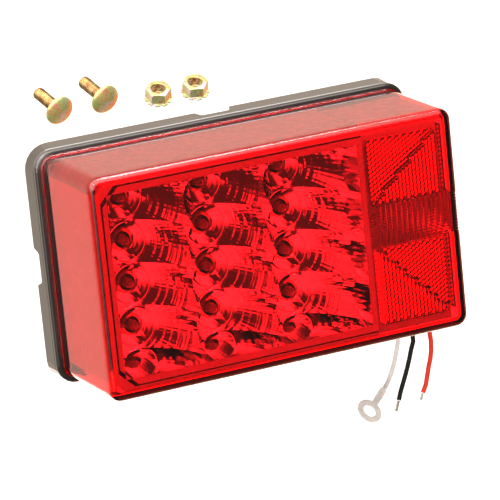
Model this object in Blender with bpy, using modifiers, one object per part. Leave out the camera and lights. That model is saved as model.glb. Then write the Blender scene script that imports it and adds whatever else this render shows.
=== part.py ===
"""Red LED tail light for the kerb side of a trailer.

The origin is the centre of the base's mounting face. +Y points from there into the trailer,
-Y is the side that traffic sees, +X is the kerb side and +Z is up.
"""

import math

import bmesh
import bpy
from mathutils import Matrix, Vector

mm = 0.001
GAP = 0.3 * mm  # clearance between pieces that meet
OVER = 1.0 * mm  # how far a cutter reaches past the face that it cuts
BITE = 0.4 * mm  # how far a boss or rib reaches into the wall that it grows from

# Base: a shallow tray, half widths in X and half heights in Z
BASE_REAR, BASE_REAR_CORNER = (98.7 * mm, 58.7 * mm), 12.0 * mm
BASE_SHOULDER, BASE_SHOULDER_CORNER = (97.8 * mm, 57.45 * mm), 9.7 * mm
BASE_SHOULDER_Y = -8.8 * mm
BASE_FRONT_Y = -11.5 * mm
BASE_ROUNDING = 1.6 * mm
SHADOW_LINE = 0.35 * mm  # the fine line between the skirt and the rim
SKIRT = 2.5 * mm
WALL_FRONT_Y = -9.0 * mm
WALL_REAR_Y = -6.0 * mm
NOTCH_MOUTH, NOTCH_WIDTH, NOTCH_DEPTH = 18.4 * mm, 15.4 * mm, 4.5 * mm
CENTRE_PAD = (4.0 * mm, 10.0 * mm)
RIB_X, RIB, RIB_TOP_Y = 72.0 * mm, 2.0 * mm, -1.5 * mm
RIB_CLEAR = 6.0 * mm

# Slots that hold the heads of the mounting bolts
SLOT_INNER_X, SLOT_OUTER_X = 6.0 * mm, 48.0 * mm
SLOT_STOP = 4.0 * mm
SLOT_HALF_HEIGHT = 12.0 * mm
SLOT_FRONT_Y = -7.6 * mm
HEAD_ROOM = (-6.2 * mm, -2.7 * mm)
HEAD_HALF = 8.0 * mm
NECK_HALF = 3.45 * mm

# Lens: a deep box that narrows a little towards its face; its foot sits in a groove in the base
LENS_FACE_Y = -68.6 * mm
LENS_FACE = (94.0 * mm, 54.0 * mm)
LENS_FOOT_Y = -9.6 * mm
LENS_FOOT = (94.35 * mm, 54.4 * mm)
LENS_WALL = 2.5 * mm
LENS_CORNER = 6.0 * mm
LENS_EDGE = 3.0 * mm
GROOVE_Y = -8.0 * mm
GROOVE_LIP = 1.2 * mm
SEAL_WIDTH = 2.2 * mm

# Lamps: a grid of bulbs, each at the bottom of its own dish
COLUMN_PITCH, ROW_PITCH = 41.3 * mm, 21.0 * mm
COLUMNS, ROWS = 3, 4
FIRST_COLUMN_X = -62.0 * mm
DISH_FOCUS = 3.36 * mm
DISH_BOTTOM_Y = -20.0 * mm
DISH_HOLE = 4.0 * mm
REFLECTOR_RIM_Y = -65.4 * mm
REFLECTOR_LEFT, REFLECTOR_RIGHT = -87.6 * mm, 46.8 * mm
REFLECTOR_HALF_HEIGHT = 47.8 * mm
REFLECTOR_RAMP = 2.4 * mm
REFLECTOR_CORNER = 1.4 * mm
REFLECTOR_CHAMFER = 8.6 * mm
REFLECTOR_WALL = 1.0 * mm
CELL_STEPS_X, CELL_STEPS_Z = 6, 4
LAMP_STANDOFF = 4.5 * mm

# Circuit boards
BOARD_Y = (-13.0 * mm, -11.4 * mm)
BOARD_X = (-89.6 * mm, 52.0 * mm)
BOARD_HALF_HEIGHT = 49.6 * mm
SIDE_BOARD_X = (56.0 * mm, 57.6 * mm)
SIDE_BOARD_Y = (-42.0 * mm, -9.4 * mm)
SIDE_BOARD_Z = (-9.0 * mm, 14.0 * mm)
SIDE_LAMP_Y = -32.0 * mm
SIDE_LAMP_Z = (-3.0 * mm, 8.0 * mm)
JAW_Y, JAW_Z = -16.0 * mm, (-6.0 * mm, 11.0 * mm)

# Reflex reflectors behind the lens's face, turned round its kerb-side end
REFLEX_LEFT_X = 48.5 * mm
REFLEX_RIGHT_X = 91.0 * mm
REFLEX_FACE_Y = -65.6 * mm
REFLEX_END_Y = -20.0 * mm
REFLEX_THICK = 2.2 * mm
REFLEX_CORNER = 2.0 * mm
REFLEX_UPPER_Z = (13.4 * mm, 45.5 * mm)
REFLEX_LOWER_Z = (-45.5 * mm, -8.4 * mm)

# Wires and where they leave the back
EXIT_X, EXIT_Z = 38.0 * mm, 25.0 * mm
EXIT_BOSS, EXIT_HOLE = 9.5 * mm, 7.3 * mm
BOSS_Y = (-9.0 * mm, -0.5 * mm)
EXIT_PITCH = 4.0 * mm
WIRE = 2.4 * mm
WIRE_STEP = 7.0 * mm
STRAND = 1.4 * mm
WIRE_ROUTES = {
    "wire_white": [
        (34, -10.5, 25), (34, 0, 25), (34.6, 5, 24.4), (37.5, 9.5, 20.5), (45.5, 11.5, 10),
        (57, 11.5, -6), (69, 10.5, -23), (79.5, 8.5, -41), (86.8, 6, -60), (89.6, 5, -77),
        (88.9, 5, -80.7), (86.7, 4.5, -87.1), (83.4, 2.5, -92), (79.2, -1, -95.6), (74.1, -6, -97.2),
    ],
    "wire_black": [
        (38, -10.5, 25), (38, 0, 25), (38.7, 5, 24.6), (42, 9.5, 21), (50.5, 11.5, 11),
        (63.5, 11.5, -5), (76, 10.5, -22), (87, 8.5, -40), (95.2, 6, -60), (98.2, 5, -77),
        (96.6, 5, -83.3), (94.1, 5, -90.8), (91, 4.5, -97.7), (88.2, 3.5, -102.6), (86, 2.5, -107.2),
    ],
    "wire_red": [
        (42, -10.5, 25), (42, 0, 25), (42.8, 5, 24.8), (46.5, 9.5, 21.8), (55.5, 11.5, 12),
        (69.5, 11.5, -4), (82.5, 10.5, -21), (94.5, 8.5, -40), (103.8, 6, -60), (107.6, 5, -77),
        (107.6, 5, -86.3), (106.5, 5, -91), (104.9, 5, -95.8), (103.7, 5, -100.5), (102.5, 5, -104.3),
        (100.9, 5, -107),
    ],
}
BARE_ENDS = {"wire_black": 5.5 * mm, "wire_red": 3.5 * mm}

# Ring terminal on the white wire
RING_MOUTH = Vector((74.1, -6.0, -97.2)) * mm
RING_ALONG = Vector((-0.755, -0.574, -0.317))
RING_ACROSS = Vector((0.603, -0.439, -0.666))
RING_BARREL, RING_BARREL_RADIUS = 6.5 * mm, 1.9 * mm
RING_REACH = 19.0 * mm
RING_OUTER, RING_HOLE = 6.6 * mm, 3.45 * mm
RING_PLATE = 0.9 * mm

# Quarter-inch mounting bolts, with nuts that carry a toothed washer
BOLT_X = 25.4 * mm
BOLT_RADIUS = 3.175 * mm
BOLT_LENGTH = 19.0 * mm
BOLT_HEAD_RADIUS, BOLT_HEAD_HEIGHT = 7.5 * mm, 3.0 * mm
BOLT_SQUARE_HALF, BOLT_SQUARE = 3.1 * mm, 2.4 * mm
WASHER_RADIUS, WASHER_TEETH, WASHER_THICK = 6.6 * mm, 10, 1.1 * mm
NUT_FLATS, NUT_HEIGHT = 11.1 * mm, 5.2 * mm
THREAD_HOLE = BOLT_RADIUS + GAP

# Small screws that hold the main board, and small parts on its front
SCREW_PLACES = [
    (FIRST_COLUMN_X + (i + 0.5) * COLUMN_PITCH, s * ROW_PITCH) for i in (0, 1) for s in (1, -1)
]
SCREW_HEAD, SCREW_HEAD_HEIGHT = 2.6 * mm, 1.7 * mm
SCREW_RADIUS, SCREW_LENGTH = 1.45 * mm, 5.6 * mm
POST_RADIUS = 3.4 * mm
POST_Y = (-11.1 * mm, -2.6 * mm)
RESISTOR_RADIUS, RESISTOR_LENGTH = 1.3 * mm, 7.5 * mm
LEAD = 1.2 * mm


# ---------------------------------------------------------------- scene and materials


def clear_scene():
    for obj in list(bpy.data.objects):
        bpy.data.objects.remove(obj, do_unlink=True)


def make_collection(name):
    group = bpy.data.collections.new(name)
    bpy.context.scene.collection.children.link(group)
    return group


def make_material(name, colour, roughness, metallic=0.0, transmission=0.0):
    mat = bpy.data.materials.new(name)
    mat.use_nodes = True
    shader = mat.node_tree.nodes["Principled BSDF"]
    shader.inputs["Base Color"].default_value = (*colour, 1.0)
    shader.inputs["Roughness"].default_value = roughness
    shader.inputs["Metallic"].default_value = metallic
    shader.inputs["Transmission Weight"].default_value = transmission
    mat.diffuse_color = (*colour, 1.0)
    return mat


clear_scene()
PARTS = make_collection("trailer_tail_light")
CUTTERS = make_collection("cutters")

BLACK_PLASTIC = make_material("black_plastic", (0.02, 0.02, 0.02), 0.35)
RED_LENS = make_material("red_lens", (0.75, 0.01, 0.02), 0.05, transmission=0.6)
SILVERED = make_material("silvered_plastic", (0.85, 0.85, 0.86), 0.08, metallic=1.0)
RUBBER = make_material("black_rubber", (0.03, 0.03, 0.03), 0.7)
LED_RESIN = make_material("red_resin", (0.7, 0.05, 0.04), 0.1, transmission=0.5)
BOARD_GREEN = make_material("board_green", (0.02, 0.16, 0.06), 0.4)
CERAMIC = make_material("component_beige", (0.72, 0.6, 0.42), 0.5)
DIODE_BLACK = make_material("component_black", (0.04, 0.04, 0.045), 0.45)
STEEL = make_material("bright_steel", (0.6, 0.6, 0.62), 0.3, metallic=1.0)
YELLOW_ZINC = make_material("yellow_zinc", (0.75, 0.6, 0.25), 0.3, metallic=1.0)
TINNED = make_material("tinned_copper", (0.75, 0.74, 0.7), 0.35, metallic=1.0)
WIRE_COLOURS = {
    "wire_white": make_material("white_vinyl", (0.85, 0.84, 0.82), 0.45),
    "wire_black": make_material("black_vinyl", (0.015, 0.015, 0.015), 0.4),
    "wire_red": make_material("red_vinyl", (0.75, 0.03, 0.02), 0.4),
}


# ---------------------------------------------------------------- modelling helpers


def finish(bm, name, mat=None, smooth=True):
    """Makes an object of a bmesh: a part if it has a material, otherwise a cutter."""
    mesh = bpy.data.meshes.new(name)
    bm.to_mesh(mesh)
    bm.free()
    obj = bpy.data.objects.new(name, mesh)
    if mat is None:
        CUTTERS.objects.link(obj)
        obj.hide_render = True
        obj.display_type = "WIRE"
        return obj
    PARTS.objects.link(obj)
    mesh.materials.append(mat)
    if smooth:
        mesh.shade_smooth()
        mesh.set_sharp_from_angle(angle=math.radians(35))
    return obj


def boolean(target, tool, operation="DIFFERENCE"):
    mod = target.modifiers.new(tool.name, "BOOLEAN")
    mod.operation = operation
    mod.object = tool
    mod.solver = "EXACT"
    return target


def box_mesh(low, high):
    bm = bmesh.new()
    bmesh.ops.create_cube(bm, size=1.0)
    for vert in bm.verts:
        for axis in range(3):
            vert.co[axis] = high[axis] if vert.co[axis] > 0 else low[axis]
    return bm


def inset(half, by):
    return tuple(size - by for size in half)


def loft_ring(bm, level, segments=6):
    """One rounded rectangle of vertices; a level is (y, half sizes, corner radius)."""
    y, half, radius = level
    ring = []
    for quarter, (sx, sz) in enumerate(((1, 1), (-1, 1), (-1, -1), (1, -1))):
        for k in range(segments + 1):
            a = math.radians(90) * (quarter + k / segments)
            x = sx * (half[0] - radius) + radius * math.cos(a)
            z = sz * (half[1] - radius) + radius * math.sin(a)
            ring.append(bm.verts.new((x, y, z)))
    return ring


def join_rings(bm, rings):
    for one, two in zip(rings, rings[1:]):
        for k in range(len(one)):
            j = (k + 1) % len(one)
            bm.faces.new((one[k], one[j], two[j], two[k]))


def rounded_loft(levels, segments=6):
    """A solid through a row of rounded rectangles, from one Y to another."""
    bm = bmesh.new()
    rings = [loft_ring(bm, level, segments) for level in levels]
    join_rings(bm, rings)
    bm.faces.new(rings[0])
    bm.faces.new(rings[-1])
    bmesh.ops.recalc_face_normals(bm, faces=bm.faces)
    return bm


def rounded_block(front_y, front, rear_y, rear, radius, segments=6):
    return rounded_loft([(rear_y, rear, radius), (front_y, front, radius)], segments)


def rounding(front_y, half, corner, radius, steps=4):
    """The levels of a rounded front edge, from the side to the front."""
    levels = []
    for k in range(steps + 1):
        a = math.radians(90) * k / steps
        by = radius * (1 - math.cos(a))
        levels.append((front_y + radius * (1 - math.sin(a)), inset(half, by), corner - by))
    return levels


def cylinder_mesh(centre, radius, length, axis="Y", sides=24):
    """A cylinder centred on a point, with its axis along X, Y or Z."""
    turn = {
        "X": Matrix.Rotation(math.radians(90), 4, "Y"),
        "Y": Matrix.Rotation(math.radians(90), 4, "X"),
        "Z": Matrix.Identity(4),
    }[axis]
    bm = bmesh.new()
    bmesh.ops.create_cone(
        bm, cap_ends=True, segments=sides, radius1=radius, radius2=radius, depth=length,
        matrix=Matrix.Translation(centre) @ turn,
    )
    return bm


def merge_meshes(meshes):
    """Several separate bmeshes as one, for cutters whose bodies do not meet."""
    whole = bmesh.new()
    for bm in meshes:
        scratch = bpy.data.meshes.new("scratch")
        bm.to_mesh(scratch)
        bm.free()
        whole.from_mesh(scratch)
        bpy.data.meshes.remove(scratch)
    return whole


def turned(name, profile, steps, mat):
    """A turned piece from its outline, which runs down the outer side from the top."""
    bm = bmesh.new()
    verts = [bm.verts.new((radius, 0.0, height)) for radius, height in profile]
    for one, two in zip(verts, verts[1:]):
        bm.edges.new((one, two))
    obj = finish(bm, name, mat, smooth=False)
    mod = obj.modifiers.new("turn", "SCREW")
    mod.steps = steps
    mod.render_steps = steps
    mod.use_merge_vertices = True
    mod.merge_threshold = 0.00001
    mod.use_smooth_shade = True
    return obj


def smooth_curve(points, step):
    """Points at an even step along a smooth curve through the given ones."""
    ends = [points[0] * 2 - points[1], *points, points[-1] * 2 - points[-2]]
    fine = []
    for a, b, c, d in zip(ends, ends[1:], ends[2:], ends[3:]):
        for k in range(12):
            t = k / 12
            fine.append(
                0.5 * (2 * b + (c - a) * t + (2 * a - 5 * b + 4 * c - d) * t**2
                       + (3 * b - a - 3 * c + d) * t**3)
            )
    fine.append(points[-1])
    length = sum((q - p).length for p, q in zip(fine, fine[1:]))
    count = max(2, round(length / step))
    wanted, so_far, out = length / count, 0.0, [fine[0]]
    for p, q in zip(fine, fine[1:]):
        span = (q - p).length
        while span > 0 and len(out) < count and so_far + span >= wanted * len(out):
            out.append(p.lerp(q, (wanted * len(out) - so_far) / span))
        so_far += span
    return [*out, fine[-1]]


def tube(name, points, diameter, mat):
    data = bpy.data.curves.new(name, "CURVE")
    data.dimensions = "3D"
    spline = data.splines.new("POLY")
    spline.points.add(len(points) - 1)
    for place, point in zip(spline.points, points):
        place.co = (*point, 1.0)
    data.bevel_depth = diameter / 2
    data.bevel_resolution = 2
    data.use_fill_caps = True
    data.materials.append(mat)
    obj = bpy.data.objects.new(name, data)
    PARTS.objects.link(obj)
    return obj


def lamp_places():
    """The X and Z of every lamp in the grid, column by column, from the top down."""
    top_z = (ROWS - 1) / 2 * ROW_PITCH
    return [
        (FIRST_COLUMN_X + i * COLUMN_PITCH, top_z - j * ROW_PITCH)
        for i in range(COLUMNS)
        for j in range(ROWS)
    ]


# ---------------------------------------------------------------- base, seal and lens


def bolt_slot_block(side):
    low, high = sorted((side * SLOT_INNER_X, side * SLOT_OUTER_X))
    block = box_mesh((low, SLOT_FRONT_Y, -SLOT_HALF_HEIGHT), (high, 0.0, SLOT_HALF_HEIGHT))
    return finish(block, f"slot_block_{'left' if side < 0 else 'right'}")


def bolt_slot_cutters(side):
    """The room for a bolt's head and the slot for its neck, open at the outer end."""
    low, high = sorted((side * (SLOT_INNER_X + SLOT_STOP), side * (SLOT_OUTER_X + OVER)))
    head = box_mesh((low, HEAD_ROOM[0], -HEAD_HALF), (high, HEAD_ROOM[1], HEAD_HALF))
    neck = box_mesh((low, HEAD_ROOM[0] + OVER, -NECK_HALF), (high, OVER, NECK_HALF))
    tag = "left" if side < 0 else "right"
    return finish(head, f"head_room_{tag}"), finish(neck, f"neck_slot_{tag}")


def notch_mesh(place, across):
    """A notch through the skirt that narrows as it deepens; across is the direction through it."""
    along = Vector((0.0, 0.0, 1.0)) if abs(across.x) > 0.5 else Vector((1.0, 0.0, 0.0))
    outline = []
    for half, y in ((NOTCH_MOUTH, OVER), (NOTCH_MOUTH, 0.0), (NOTCH_WIDTH, -NOTCH_DEPTH + OVER),
                    (NOTCH_WIDTH - 2 * OVER, -NOTCH_DEPTH)):
        outline.append((half / 2, y))
    outline += [(-half, y) for half, y in reversed(outline)]
    bm = bmesh.new()
    start = place - across * 2 * SKIRT
    face = bm.faces.new([bm.verts.new(start + along * a + Vector((0.0, y, 0.0))) for a, y in outline])
    grown = bmesh.ops.extrude_face_region(bm, geom=[face])["geom"]
    for vert in (v for v in grown if isinstance(v, bmesh.types.BMVert)):
        vert.co += across * (2 * SKIRT + OVER)
    bmesh.ops.recalc_face_normals(bm, faces=bm.faces)
    return bm


def skirt_notches():
    """Notches in the middle of each side of the rear edge, where wires can pass."""
    return merge_meshes([
        notch_mesh(Vector((x * BASE_REAR[0], 0.0, z * BASE_REAR[1])), Vector((x, 0.0, z)))
        for x, z in ((0, 1), (0, -1), (1, 0), (-1, 0))
    ])


def base_levels():
    """The outside of the base: a drafted skirt, a fine line, and a rim with a rounded edge."""
    return [
        (0.0, BASE_REAR, BASE_REAR_CORNER),
        (BASE_SHOULDER_Y + SHADOW_LINE, BASE_SHOULDER, BASE_SHOULDER_CORNER),
        (BASE_SHOULDER_Y, inset(BASE_SHOULDER, SHADOW_LINE), BASE_SHOULDER_CORNER - SHADOW_LINE),
        (BASE_SHOULDER_Y - SHADOW_LINE, BASE_SHOULDER, BASE_SHOULDER_CORNER),
        *rounding(BASE_FRONT_Y, BASE_SHOULDER, BASE_SHOULDER_CORNER, BASE_ROUNDING),
    ]


def make_base():
    base = finish(rounded_loft(base_levels()), "base_housing", BLACK_PLASTIC)
    pocket = inset(LENS_FOOT, LENS_WALL + GAP + GROOVE_LIP)
    corner = LENS_CORNER - LENS_WALL - GAP - GROOVE_LIP
    boolean(base, finish(
        rounded_block(BASE_FRONT_Y - OVER, pocket, WALL_FRONT_Y, pocket, corner), "front_pocket"
    ))
    hollow = inset(BASE_REAR, SKIRT)
    boolean(base, finish(
        rounded_block(WALL_REAR_Y, hollow, OVER, hollow, BASE_REAR_CORNER - SKIRT), "rear_hollow"
    ))
    for side in (-1, 1):
        boolean(base, bolt_slot_block(side), "UNION")
    pad_x, pad_z = CENTRE_PAD
    pad = box_mesh((-pad_x, WALL_REAR_Y - BITE, -pad_z), (pad_x, 0.0, pad_z))
    boolean(base, finish(pad, "centre_pad"), "UNION")
    boss = cylinder_mesh((EXIT_X, sum(BOSS_Y) / 2, EXIT_Z), EXIT_BOSS, BOSS_Y[1] - BOSS_Y[0])
    boolean(base, finish(boss, "exit_boss"), "UNION")
    for n, (x, z) in enumerate(SCREW_PLACES):
        middle, length = sum(POST_Y) / 2, POST_Y[1] - POST_Y[0]
        post = cylinder_mesh((x, middle, z), POST_RADIUS, length, sides=12)
        boolean(base, finish(post, f"board_post_{n}"), "UNION")
    for n, (x, z) in enumerate((x, z) for x in (-RIB_X, RIB_X) for z in (-1, 1)):
        low, high = sorted((z * (NOTCH_MOUTH / 2 + RIB_CLEAR), z * (BASE_REAR[1] - SKIRT + BITE)))
        rib = box_mesh((x - RIB / 2, WALL_REAR_Y - BITE, low), (x + RIB / 2, RIB_TOP_Y, high))
        boolean(base, finish(rib, f"rear_rib_{n}"), "UNION")
    for n, x in enumerate((SIDE_BOARD_X[0] - GAP - RIB, SIDE_BOARD_X[1] + GAP)):
        jaw = box_mesh((x, JAW_Y, JAW_Z[0]), (x + RIB, WALL_FRONT_Y + BITE, JAW_Z[1]))
        boolean(base, finish(jaw, f"side_board_jaw_{n}"), "UNION")
    for side in (-1, 1):
        for cutter in bolt_slot_cutters(side):
            boolean(base, cutter)
    boolean(base, finish(skirt_notches(), "skirt_notches"))
    screw_hole = SCREW_RADIUS + GAP
    holes = [
        cylinder_mesh((x, POST_Y[0] + SCREW_LENGTH / 2 - OVER, z), screw_hole, SCREW_LENGTH, sides=12)
        for x, z in SCREW_PLACES
    ]
    holes.append(cylinder_mesh((EXIT_X, WALL_REAR_Y, EXIT_Z), EXIT_HOLE, -2 * WALL_REAR_Y + OVER))
    boolean(base, finish(merge_meshes(holes), "round_holes"))
    boolean(base, groove_cutter())


def ring_mesh(middle, width, front_y, rear_y, radius):
    """A frame-shaped ring of even width round a rounded rectangle."""
    outer, inner = inset(middle, -width / 2), inset(middle, width / 2)
    bm = rounded_block(front_y, outer, rear_y, outer, radius + width / 2)
    hole = rounded_block(front_y - OVER, inner, rear_y + OVER, inner, radius - width / 2)
    return bm, hole


def groove_ring(width, front_y, rear_y):
    """A ring that follows the middle of the lens's wall at its foot."""
    middle, corner = inset(LENS_FOOT, LENS_WALL / 2), LENS_CORNER - LENS_WALL / 2
    return ring_mesh(middle, width, front_y, rear_y, corner)


def groove_cutter():
    solid, hole = groove_ring(LENS_WALL + 2 * GAP, BASE_FRONT_Y - OVER, GROOVE_Y)
    return boolean(finish(solid, "lens_groove"), finish(hole, "lens_groove_middle"))


def make_seal():
    solid, hole = groove_ring(SEAL_WIDTH, LENS_FOOT_Y + GAP, GROOVE_Y - GAP)
    boolean(finish(solid, "lens_seal", RUBBER), finish(hole, "lens_seal_middle"))


def lens_levels(inward):
    """The lens's outer skin, or its inner skin that far inside it."""
    corner = LENS_CORNER - inward
    return [
        (LENS_FOOT_Y, inset(LENS_FOOT, inward), corner),
        *rounding(LENS_FACE_Y + inward, inset(LENS_FACE, inward), corner, LENS_EDGE - inward),
    ]


def make_lens():
    bm = bmesh.new()
    outer, inner = (
        [loft_ring(bm, level) for level in lens_levels(inward)] for inward in (0.0, LENS_WALL)
    )
    join_rings(bm, [*reversed(outer), *inner])
    for face in (outer[-1], inner[-1]):
        bm.faces.new(face)
    bmesh.ops.recalc_face_normals(bm, faces=bm.faces)
    finish(bm, "lens", RED_LENS)


# ---------------------------------------------------------------- reflector, boards and lamps


def spread(first, last, steps):
    return [first + (last - first) * k / steps for k in range(steps + 1)]


def dish_height(x, z):
    """How far the nearest lamp's parabolic dish has risen at a place."""
    nearest = min((x - a) ** 2 + (z - b) ** 2 for a, b in lamp_places())
    return nearest / (4 * DISH_FOCUS)


def make_reflector():
    """A thin shell: twelve dishes inside a flat rim, with a wall down to the board."""
    left = FIRST_COLUMN_X - COLUMN_PITCH / 2
    right = left + COLUMNS * COLUMN_PITCH
    top = ROWS * ROW_PITCH / 2
    xs = [REFLECTOR_LEFT, left - REFLECTOR_RAMP, *spread(left, right, COLUMNS * CELL_STEPS_X),
          right + REFLECTOR_RAMP, REFLECTOR_RIGHT]
    zs = [-REFLECTOR_HALF_HEIGHT, -top - REFLECTOR_RAMP, *spread(-top, top, ROWS * CELL_STEPS_Z),
          top + REFLECTOR_RAMP, REFLECTOR_HALF_HEIGHT]
    bm = bmesh.new()
    bmesh.ops.create_grid(bm, x_segments=len(xs) - 1, y_segments=len(zs) - 1, size=1.0)
    columns = sorted({round(v.co.x, 5) for v in bm.verts})
    rows = sorted({round(v.co.y, 5) for v in bm.verts})
    for vert in bm.verts:
        x, z = xs[columns.index(round(vert.co.x, 5))], zs[rows.index(round(vert.co.y, 5))]
        inside = left - GAP < x < right + GAP and abs(z) < top + GAP
        y = DISH_BOTTOM_Y - dish_height(x, z) if inside else REFLECTOR_RIM_Y
        if x == xs[-1] and z in (zs[0], zs[-1]):
            x -= REFLECTOR_CORNER
            z -= math.copysign(REFLECTOR_CORNER, z)
        vert.co = Vector((x, y, z))
    for z in (-1, 1):
        bmesh.ops.bisect_plane(
            bm, geom=[*bm.verts, *bm.edges, *bm.faces], clear_outer=True, plane_no=(-1.0, 0.0, z),
            plane_co=(REFLECTOR_LEFT + REFLECTOR_CHAMFER, 0.0, z * REFLECTOR_HALF_HEIGHT),
        )
    border = [e for e in bm.edges if e.is_boundary]
    wall = bmesh.ops.extrude_edge_only(bm, edges=border)["geom"]
    for vert in (v for v in wall if isinstance(v, bmesh.types.BMVert)):
        vert.co.y = BOARD_Y[0] - GAP
    bmesh.ops.recalc_face_normals(bm, faces=bm.faces)
    reflector = finish(bm, "reflector", SILVERED)
    shell = reflector.modifiers.new("wall", "SOLIDIFY")
    shell.thickness = REFLECTOR_WALL
    shell.offset = -1.0
    holes = [
        cylinder_mesh((x, DISH_BOTTOM_Y, z), DISH_HOLE, 8 * mm, sides=16) for x, z in lamp_places()
    ]
    boolean(reflector, finish(merge_meshes(holes), "lamp_holes"))


def lamp_profile():
    """A five-millimetre lamp with a flange, on a round spacer."""
    dome, flange, spacer = 2.5 * mm, 2.9 * mm, 2.2 * mm
    rise = LAMP_STANDOFF + 5.6 * mm
    arc = [
        (dome * math.cos(math.radians(a)), rise + dome * math.sin(math.radians(a)))
        for a in (60, 30, 0)
    ]
    collar = LAMP_STANDOFF + 1.0 * mm
    return [(0.0, rise + dome), *arc, (dome, collar), (flange, collar), (flange, LAMP_STANDOFF),
            (spacer, LAMP_STANDOFF), (spacer, 0.0), (0.0, 0.0)]


def make_lamps():
    for n, (x, z) in enumerate(lamp_places(), start=1):
        lamp = turned(f"led_{n:02d}", lamp_profile(), 12, LED_RESIN)
        lamp.location = (x, BOARD_Y[0] - GAP, z)
        lamp.rotation_euler = (math.radians(90), 0.0, 0.0)
    for n, z in enumerate(SIDE_LAMP_Z, start=1):
        lamp = turned(f"side_marker_led_{n}", lamp_profile(), 12, LED_RESIN)
        lamp.location = (SIDE_BOARD_X[1] + GAP, SIDE_LAMP_Y, z)
        lamp.rotation_euler = (0.0, math.radians(90), 0.0)


def make_boards():
    low = (BOARD_X[0], BOARD_Y[0], -BOARD_HALF_HEIGHT)
    high = (BOARD_X[1], BOARD_Y[1], BOARD_HALF_HEIGHT)
    board = finish(box_mesh(low, high), "main_circuit_board", BOARD_GREEN, smooth=False)
    holes = [
        cylinder_mesh((x, BOARD_Y[0], z), SCREW_RADIUS + GAP, 8 * mm, sides=12)
        for x, z in SCREW_PLACES
    ]
    boolean(board, finish(merge_meshes(holes), "board_holes"))
    low, high = (tuple(span[k] for span in (SIDE_BOARD_X, SIDE_BOARD_Y, SIDE_BOARD_Z)) for k in (0, 1))
    low = (low[0], low[1], low[2] + GAP)
    finish(box_mesh(low, high), "side_circuit_board", BOARD_GREEN, smooth=False)


def make_board_screws():
    profile = [
        (0.0, SCREW_HEAD_HEIGHT), (1.6 * mm, SCREW_HEAD_HEIGHT), (SCREW_HEAD, 0.8 * mm),
        (SCREW_HEAD, 0.0), (SCREW_RADIUS, 0.0), (SCREW_RADIUS, -SCREW_LENGTH + 1.2 * mm),
        (0.0, -SCREW_LENGTH),
    ]
    for n, (x, z) in enumerate(SCREW_PLACES, start=1):
        screw = turned(f"board_screw_{n}", profile, 12, STEEL)
        screw.location = (x, BOARD_Y[0] - GAP, z)
        screw.rotation_euler = (math.radians(90), 0.0, 0.0)


def make_components():
    """Resistors and diodes on the front of the main board, under the ridges between dishes."""
    ridge_x = [FIRST_COLUMN_X + (i + 0.5) * COLUMN_PITCH for i in (0, 1)]
    y = BOARD_Y[0] - GAP - RESISTOR_RADIUS
    for n, (x, z) in enumerate(((x, z) for x in ridge_x for z in (31.5 * mm, 10.5 * mm)), start=1):
        body = cylinder_mesh((x, y, z), RESISTOR_RADIUS, RESISTOR_LENGTH, axis="Z", sides=12)
        finish(body, f"resistor_{n}", CERAMIC)
    for n, x in enumerate(ridge_x, start=1):
        body = cylinder_mesh((x, y, -10.5 * mm), RESISTOR_RADIUS, 5.0 * mm, axis="Z", sides=12)
        finish(body, f"diode_{n}", DIODE_BLACK)


# ---------------------------------------------------------------- reflex reflectors


def make_reflex(name, low_z, high_z):
    """A plate behind the lens's face that turns back along the lens's end wall."""
    inner_x, inner_y = REFLEX_RIGHT_X - REFLEX_THICK, REFLEX_FACE_Y + REFLEX_THICK
    outline = [
        (REFLEX_LEFT_X, REFLEX_FACE_Y), (REFLEX_RIGHT_X - REFLEX_CORNER, REFLEX_FACE_Y),
        (REFLEX_RIGHT_X, REFLEX_FACE_Y + REFLEX_CORNER), (REFLEX_RIGHT_X, REFLEX_END_Y),
        (inner_x, REFLEX_END_Y), (inner_x, inner_y), (REFLEX_LEFT_X, inner_y),
    ]
    bm = bmesh.new()
    face = bm.faces.new([bm.verts.new((x, y, low_z)) for x, y in outline])
    grown = bmesh.ops.extrude_face_region(bm, geom=[face])["geom"]
    for vert in (v for v in grown if isinstance(v, bmesh.types.BMVert)):
        vert.co.z = high_z
    bmesh.ops.recalc_face_normals(bm, faces=bm.faces)
    finish(bm, name, RED_LENS, smooth=False)


# ---------------------------------------------------------------- wires


def make_grommet():
    length = BOSS_Y[1] - BOSS_Y[0]
    body = cylinder_mesh((EXIT_X, sum(BOSS_Y) / 2, EXIT_Z), EXIT_HOLE - GAP, length)
    grommet = finish(body, "wire_grommet", RUBBER)
    holes = [
        cylinder_mesh(
            (EXIT_X + k * EXIT_PITCH, sum(BOSS_Y) / 2, EXIT_Z), WIRE / 2 + GAP, 2 * length, sides=12
        )
        for k in (-1, 0, 1)
    ]
    boolean(grommet, finish(merge_meshes(holes), "grommet_holes"))


def make_wires():
    for name, route in WIRE_ROUTES.items():
        points = smooth_curve([Vector(point) * mm for point in route], WIRE_STEP)
        tube(name, points, WIRE, WIRE_COLOURS[name])
        if name in BARE_ENDS:
            along = (points[-1] - points[-2]).normalized()
            start = points[-1] + along * GAP
            end = start + along * BARE_ENDS[name]
            tube(name.replace("wire", "bare_end"), [start, end], STRAND, TINNED)


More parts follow.
